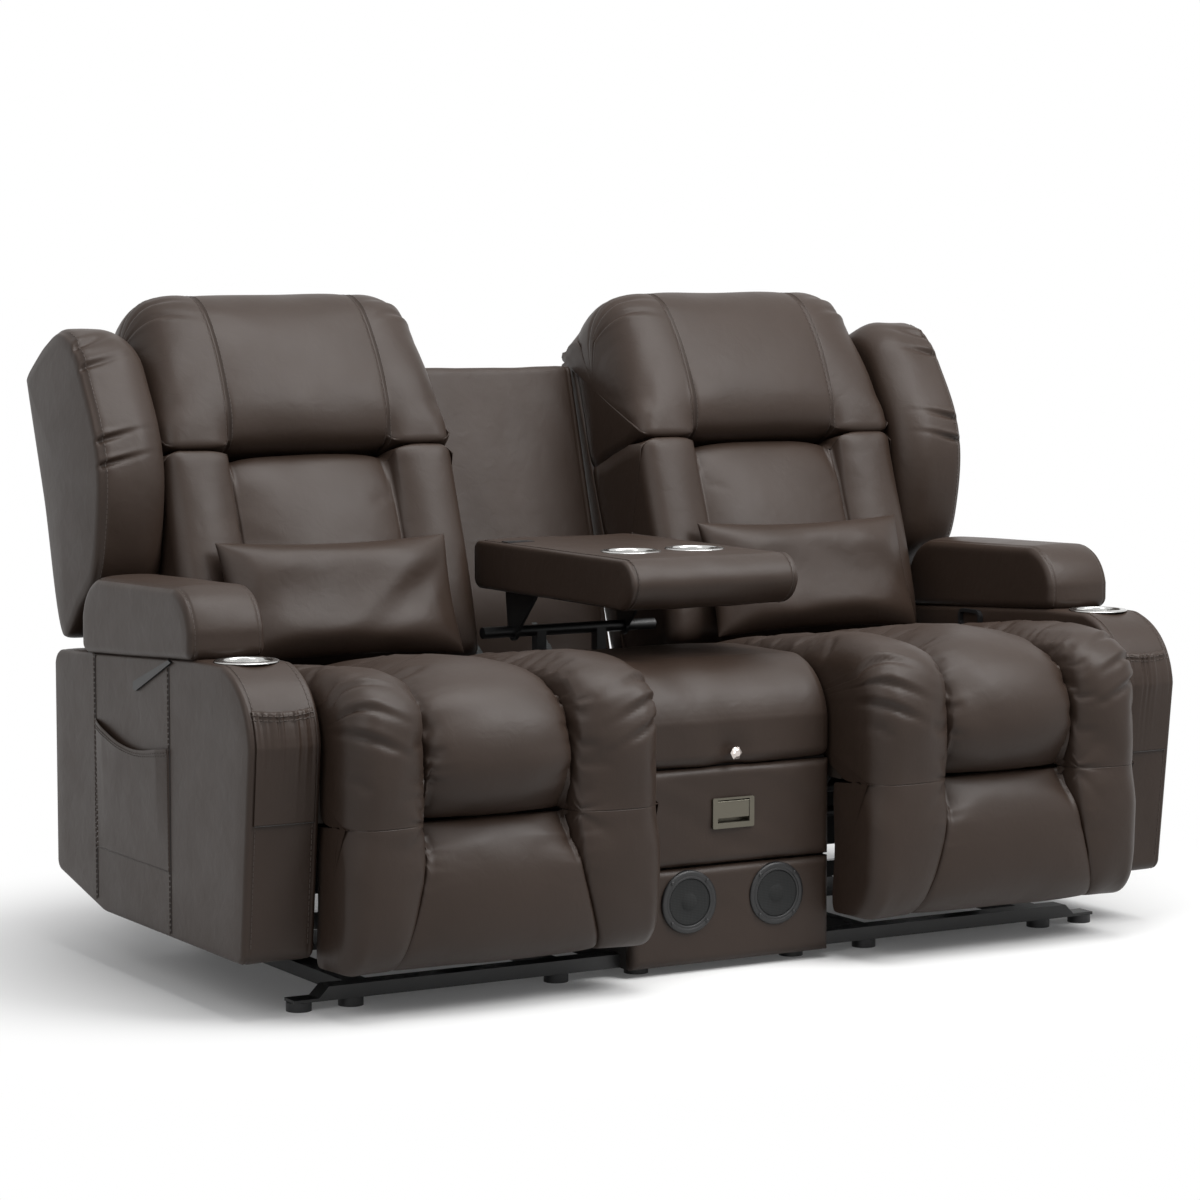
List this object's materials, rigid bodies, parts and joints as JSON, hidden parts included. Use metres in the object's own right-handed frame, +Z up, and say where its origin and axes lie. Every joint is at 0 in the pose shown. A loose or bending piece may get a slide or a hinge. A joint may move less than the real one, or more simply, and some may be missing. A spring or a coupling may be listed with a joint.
{
  "type": "rocker recliner loveseat",
  "caption": "Two-seat rocker recliner sofa with reclining backs, fold-out footrests, a centre console with drawer, bin, speakers and drop-down table.",
  "frame": {"origin": "on the floor, at the middle of the width and of the depth", "axes": "+X along the width to the right as seen from the front, +Y to the back, +Z up"},
  "size_m": [1.7762, 1.0337, 1.0901],
  "materials": {
    "leather": "semi-gloss dark brown-grey polyurethane leather, fine grain",
    "timber": "raw frame timber and board",
    "black_steel": "black powder coat",
    "bright_steel": "polished stainless steel",
    "grey_metal": "grey-bronze satin metal",
    "black_plastic": "satin black moulded plastic",
    "grey_cloth": "grey non-woven dust cloth",
    "crystal": "clear faceted knob"
  },
  "bodies": {
    "base": {"base_frames": "black_steel", "floor_glides": "black_plastic", "console_case": "timber", "speaker_panel": "leather", "speaker_bezels": "black_plastic", "speaker_drivers": "black_plastic", "speaker_screws": "bright_steel", "drawer_runners": "bright_steel", "table_bars": "black_steel", "centre_panel": "leather", "rear_cloth": "grey_cloth"},
    "drawer": {"drawer_box": "timber", "drawer_front": "leather", "handle_frame": "grey_metal"},
    "flap": {"handle_flap": "grey_metal"},
    "lid": {"console_lid": "leather", "lid_knob": "crystal"},
    "table": {"table_pad": "leather", "table_cups": "bright_steel", "usb_panel": "black_plastic", "table_arms": "black_steel"},
    "rocker_left": {"seat_frame_left": "timber", "mechanism_left": "black_steel", "seat_cushion_left": "leather", "arm_left": "leather", "arm_pad_left": "leather", "cup_holder_left": "bright_steel", "arm_pockets_left": "leather", "side_strap": "black_plastic"},
    "pull_left": {"release_pull_left": "black_plastic"},
    "link_a_left": {"link_a_left": "black_steel"},
    "link_b_left": {"link_b_left": "black_steel"},
    "footrest_left": {"footrest_tray_left": "black_steel", "footrest_pad_left": "leather"},
    "back_left": {"back_frame_left": "black_steel", "back_shell_left": "leather", "back_cushion_left": "leather", "headrest_left": "leather", "wing_left": "leather", "pillow_left": "leather"},
    "rocker_right": {"seat_frame_right": "timber", "mechanism_right": "black_steel", "seat_cushion_right": "leather", "arm_right": "leather", "arm_pad_right": "leather", "cup_holder_right": "bright_steel", "arm_pockets_right": "leather"},
    "pull_right": {"release_pull_right": "black_plastic"},
    "link_a_right": {"link_a_right": "black_steel"},
    "link_b_right": {"link_b_right": "black_steel"},
    "footrest_right": {"footrest_tray_right": "black_steel", "footrest_pad_right": "leather"},
    "back_right": {"back_frame_right": "black_steel", "back_shell_right": "leather", "back_cushion_right": "leather", "headrest_right": "leather", "wing_right": "leather", "pillow_right": "leather"}
  },
  "joints": [
    {"name": "drawer_slide", "type": "slide", "parent": "base", "child": "drawer", "axis": [0, -1, 0], "range_m": [0, 0.3]},
    {"name": "flap_hinge", "type": "hinge", "parent": "drawer", "child": "flap", "pos_m": [0, -0.38625, 0.276], "axis": [1, 0, 0], "range_deg": [0, 30], "stiffness_Nm_per_rad": 0.3},
    {"name": "lid_hinge", "type": "hinge", "parent": "base", "child": "lid", "pos_m": [0, -0.066, 0.352], "axis": [-1, 0, 0], "range_deg": [0, 13]},
    {"name": "table_hinge", "type": "hinge", "parent": "base", "child": "table", "pos_m": [0, 0.15, 0.512], "axis": [-1, 0, 0], "range_deg": [0, 105]},
    {"name": "rock_left", "type": "hinge", "parent": "base", "child": "rocker_left", "pos_m": [-0.52, 0, 0.15], "axis": [-1, 0, 0], "range_deg": [-4, 7], "stiffness_Nm_per_rad": 700},
    {"name": "release_left", "type": "slide", "parent": "rocker_left", "child": "pull_left", "axis": [0, 0, 1], "range_m": [0, 0.02], "stiffness_N_per_m": 400},
    {"name": "recline_left", "type": "hinge", "parent": "rocker_left", "child": "back_left", "pos_m": [-0.52, 0.286, 0.4], "axis": [-1, 0, 0], "range_deg": [0, 40]},
    {"name": "footrest_lift_left", "type": "hinge", "parent": "rocker_left", "child": "link_a_left", "pos_m": [-0.52, -0.16, 0.305], "axis": [-1, 0, 0], "range_deg": [0, 104]},
    {"name": "footrest_knee_left", "type": "hinge", "parent": "link_a_left", "child": "link_b_left", "pos_m": [-0.52, -0.0526, 0.0848], "axis": [-1, 0, 0], "range_deg": [-101, 0]},
    {"name": "footrest_tilt_left", "type": "hinge", "parent": "link_b_left", "child": "footrest_left", "pos_m": [-0.52, -0.39799, 0.15006], "axis": [-1, 0, 0], "range_deg": [0, 85]},
    {"name": "rock_right", "type": "hinge", "parent": "base", "child": "rocker_right", "pos_m": [0.52, 0, 0.15], "axis": [-1, 0, 0], "range_deg": [-4, 7], "stiffness_Nm_per_rad": 700},
    {"name": "release_right", "type": "slide", "parent": "rocker_right", "child": "pull_right", "axis": [0, 0, 1], "range_m": [0, 0.02], "stiffness_N_per_m": 400},
    {"name": "recline_right", "type": "hinge", "parent": "rocker_right", "child": "back_right", "pos_m": [0.52, 0.286, 0.4], "axis": [-1, 0, 0], "range_deg": [0, 40]},
    {"name": "footrest_lift_right", "type": "hinge", "parent": "rocker_right", "child": "link_a_right", "pos_m": [0.52, -0.16, 0.305], "axis": [-1, 0, 0], "range_deg": [0, 104]},
    {"name": "footrest_knee_right", "type": "hinge", "parent": "link_a_right", "child": "link_b_right", "pos_m": [0.52, -0.0526, 0.0848], "axis": [-1, 0, 0], "range_deg": [-101, 0]},
    {"name": "footrest_tilt_right", "type": "hinge", "parent": "link_b_right", "child": "footrest_right", "pos_m": [0.52, -0.39799, 0.15006], "axis": [-1, 0, 0], "range_deg": [0, 85]}
  ],
  "couplings": [
    {"joint": "footrest_knee_left", "follows": "footrest_lift_left", "ratio": -0.9683},
    {"joint": "footrest_tilt_left", "follows": "footrest_lift_left", "ratio": 0.8144},
    {"joint": "footrest_knee_right", "follows": "footrest_lift_right", "ratio": -0.9683},
    {"joint": "footrest_tilt_right", "follows": "footrest_lift_right", "ratio": 0.8144}
  ]
}
